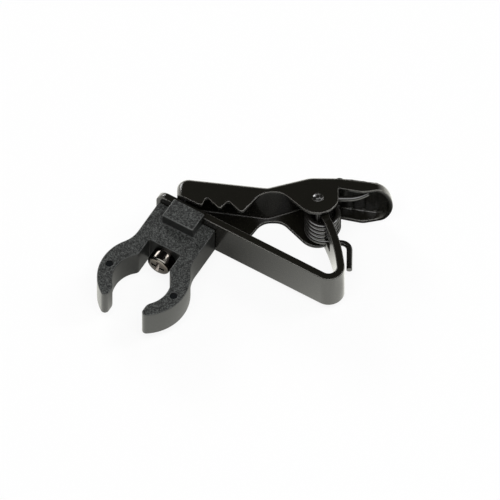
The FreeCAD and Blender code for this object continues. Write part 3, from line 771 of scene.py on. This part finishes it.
# %% Geometry Nodes: round wire
wire_tree, enter, leave = new_group(
    "round_wire",
    [("Geometry", "NodeSocketGeometry", None),
     ("Wire radius", "NodeSocketFloat", 0.4 * MM),
     ("Sides", "NodeSocketInt", 20),
     ("Step", "NodeSocketFloat", 0.2 * MM),
     ("Finish", "NodeSocketMaterial", None)],
    [("Geometry", "NodeSocketGeometry")], kind="GeometryNodeTree")
resample = wire_tree.nodes.new("GeometryNodeResampleCurve")
resample.mode = "LENGTH"
circle = wire_tree.nodes.new("GeometryNodeCurvePrimitiveCircle")
sweep = wire_tree.nodes.new("GeometryNodeCurveToMesh")
sweep.inputs["Fill Caps"].default_value = True
smooth = wire_tree.nodes.new("GeometryNodeSetShadeSmooth")
realize = wire_tree.nodes.new("GeometryNodeRealizeInstances")
coat = wire_tree.nodes.new("GeometryNodeSetMaterial")
for start, end in (
        (enter.outputs["Geometry"], resample.inputs["Curve"]),
        (enter.outputs["Step"], resample.inputs["Length"]),
        (enter.outputs["Sides"], circle.inputs["Resolution"]),
        (enter.outputs["Wire radius"], circle.inputs["Radius"]),
        (resample.outputs["Curve"], sweep.inputs["Curve"]),
        (circle.outputs["Curve"], sweep.inputs["Profile Curve"]),
        (sweep.outputs["Mesh"], smooth.inputs["Geometry"]),
        (smooth.outputs["Geometry"], realize.inputs["Geometry"]),
        (realize.outputs["Geometry"], coat.inputs["Geometry"]),
        (enter.outputs["Finish"], coat.inputs["Material"]),
        (coat.outputs["Geometry"], leave.inputs["Geometry"])):
    wire_tree.links.new(start, end)
print("tree:", wire_tree.name)

# %% [markdown]
# The leg under the thumb tab follows the tab when the jaw opens, while the coil and
# the other leg stay with the arm. A wire is one piece, so it can't be cut at a joint.
# The wire in the photograph is about a millimetre thick.

# %% The spring
WIRE_RADIUS = 0.49 * MM
WIRE_STEP = 0.2 * MM


def add_tree(holder, tree, values):
    """The tree as a modifier, with its inputs set by name."""
    modifier = holder.modifiers.new(tree.name, "NODES")
    modifier.node_group = tree
    for item in tree.interface.items_tree:
        if item.item_type == "SOCKET" and item.in_out == "INPUT" and item.name in values:
            modifier[item.identifier] = values[item.name]


add_tree(spring_holder, wire_tree, {
    "Wire radius": WIRE_RADIUS, "Sides": 20, "Step": WIRE_STEP, "Finish": black_wire})
spring_wire = finished(spring_holder, "spring_wire", black_wire)
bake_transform(spring_wire)
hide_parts("torsion_spring")

# %% [markdown]
# The pin and the screw are round parts: a profile is drawn once and spun about an axis.
# The Screw modifier spins a line too, but in bmesh the poles close at one point each
# and the rings stay regular.

# %% A turned piece


def turned(profile, sides, piece_name, material, axis_frame):
    """A solid of revolution: (radius, height) points in mm, spun about the frame's z."""
    bm = bmesh.new()
    rings = []
    for radius, height in profile:
        spokes = [Vector((0, 0, 0))]
        if radius:
            spokes = [way(360 * k / sides) * radius for k in range(sides)]
        lift = Vector((0, 0, height))
        rings.append([bm.verts.new(axis_frame @ ((spoke + lift) * MM)) for spoke in spokes])
    for above, below in zip(rings, rings[1:]):
        for k in range(sides):
            corners = [above[k % len(above)], below[k % len(below)],
                       below[(k + 1) % len(below)], above[(k + 1) % len(above)]]
            bm.faces.new(list(dict.fromkeys(corners)))
    bmesh.ops.recalc_face_normals(bm, faces=bm.faces)
    mesh = bpy.data.meshes.new(piece_name)
    bm.to_mesh(mesh)
    bm.free()
    mesh.shade_smooth()
    mesh.set_sharp_from_angle(angle=math.radians(50))
    mesh.materials.append(material)
    piece = bpy.data.objects.new(piece_name, mesh)
    bpy.context.collection.objects.link(piece)
    return piece


print("helper: turned")

# %% [markdown]
# The pin is a rivet. Its ends were staked over the jaw's ears with a round punch,
# which leaves a collar and a low dome on it. Both ends are alike, so half a profile is
# drawn and mirrored.

# %% The rivet
pin_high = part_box("pivot_pin")[1].z / MM - PIN.z / MM
seat = pin_high - 0.36
half_rivet = [
    (0.5, 0), (0.5, seat), (0.74, seat), (0.78, seat + 0.03), (0.775, seat + 0.08),
    (0.73, seat + 0.11), (0.6, seat + 0.13), (0.54, seat + 0.16), (0.53, seat + 0.24),
    (0.5, pin_high - 0.14), (0.43, pin_high - 0.05), (0.33, pin_high - 0.01),
    (0.2, pin_high), (0, pin_high)]
mirrored_half = [(radius, -height) for radius, height in half_rivet[1:]]
rivet = turned(
    half_rivet[::-1] + mirrored_half, 40, "rivet", black_wire, Matrix.Translation(PIN))
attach(rivet, "jaw")
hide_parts("pivot_pin")
print("rivet:", len(rivet.data.polygons), "faces, crown", round(pin_high, 2), "mm up")

# %% [markdown]
# The screw has a pan head with upright sides and a flat crown, and holds the moulding
# to the bar. Its thread is out of sight inside the strip, so the shank stays plain.

# %% The screw's head and shank
HEAD_RADIUS = 2.05
HEAD_RISE = 2.5
SHANK_RADIUS = 1.0
crown, screw_high = [corner.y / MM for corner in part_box("grip_screw")]
head_seat = crown + HEAD_RISE
screw_profile = [
    (0, crown), (0.6, crown + 0.02), (1.1, crown + 0.07), (1.5, crown + 0.14),
    (1.8, crown + 0.22), (1.93, crown + 0.3), (2.01, crown + 0.42),
    (HEAD_RADIUS, crown + 0.58), (HEAD_RADIUS, head_seat - 0.08),
    (HEAD_RADIUS - 0.08, head_seat), (SHANK_RADIUS, head_seat),
    (SHANK_RADIUS, screw_high - 0.15), (SHANK_RADIUS - 0.15, screw_high), (0, screw_high)]
along_y = Matrix.Rotation(math.radians(-90), 4, "X")
screw_body = turned(screw_profile, 72, "screw_body", dark_nickel, along_y)
print("screw from", round(crown, 2), "to", round(screw_high, 2), "mm along y")

# %% [markdown]
# The head's cross recess was punched with tapering wings. Each pair of wings is one
# wedge that a Boolean modifier takes out of the head. The cross could also be drawn
# into the head's rings, but that takes many more points for the same sloping walls.

# %% The screw's cross recess
RECESS_TURN = 6.0
WING_ENDS = (
    # height along y, half length and half width, in mm
    (crown - 0.5, 1.7, 0.36),
    (crown + 1.1, 0.55, 0.2),
)


def wing_wedge(turn):
    """A tapering wedge across the screw's axis, turned about it by degrees."""
    bm = bmesh.new()
    rings = [[bm.verts.new(Vector((x * a, y, z * b)) * MM) for a, b in SQUARE]
             for y, x, z in WING_ENDS]
    bm.faces.new(rings[0][::-1])
    bm.faces.new(rings[1])
    for k in range(4):
        after = (k + 1) % 4
        bm.faces.new((rings[0][k], rings[0][after], rings[1][after], rings[1][k]))
    bmesh.ops.recalc_face_normals(bm, faces=bm.faces)
    about_y = Matrix.Rotation(math.radians(turn), 3, "Y")
    bmesh.ops.rotate(bm, verts=bm.verts, matrix=about_y)
    mesh = bpy.data.meshes.new("wing")
    bm.to_mesh(mesh)
    bm.free()
    wedge = bpy.data.objects.new("wing", mesh)
    bpy.context.collection.objects.link(wedge)
    return wedge


for turn in (RECESS_TURN, RECESS_TURN + 90):
    wedge = wing_wedge(turn)
    cut = screw_body.modifiers.new("recess", "BOOLEAN")
    cut.operation = "DIFFERENCE"
    cut.solver = "EXACT"
    cut.object = wedge
    screw_body = finished(screw_body, "screw_body", dark_nickel)
    wedge_mesh = wedge.data
    bpy.data.objects.remove(wedge)
    bpy.data.meshes.remove(wedge_mesh)
screw_body.name = "screw_body"
screw_body.data.name = "screw_body"
screw_body.data.set_sharp_from_angle(angle=math.radians(40))
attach(screw_body, "bar")
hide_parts("grip_screw")
print("screw:", len(screw_body.data.polygons), "faces with its cross")

# %% [markdown]
# Each new piece stands for a material slot of the record. This cell prints which.

# %% Slots
for piece, slot in ((jaw_sheet, "black_steel"), (bar_strip, "black_steel"),
                    (grip_moulding, "black_nylon"), (screw_body, "screw_steel")):
    print(piece.name, "takes", slot)

# %% [markdown]
# The replaced solids stay in the file, hidden. They get the same finishes as the
# pieces that stand for them.

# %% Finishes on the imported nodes
node_finish = {
    "jaw_lever": black_coat,
    "tie_bar": black_coat,
    "pivot_pin": black_wire,
    "torsion_spring": black_wire,
    "mic_grip": textured_nylon,
    "grip_screw": dark_nickel,
}
for name, material in node_finish.items():
    node = frame["nodes"][name]
    node.data.materials.clear()
    node.data.materials.append(material)
print("dressed:", sorted(node_finish))
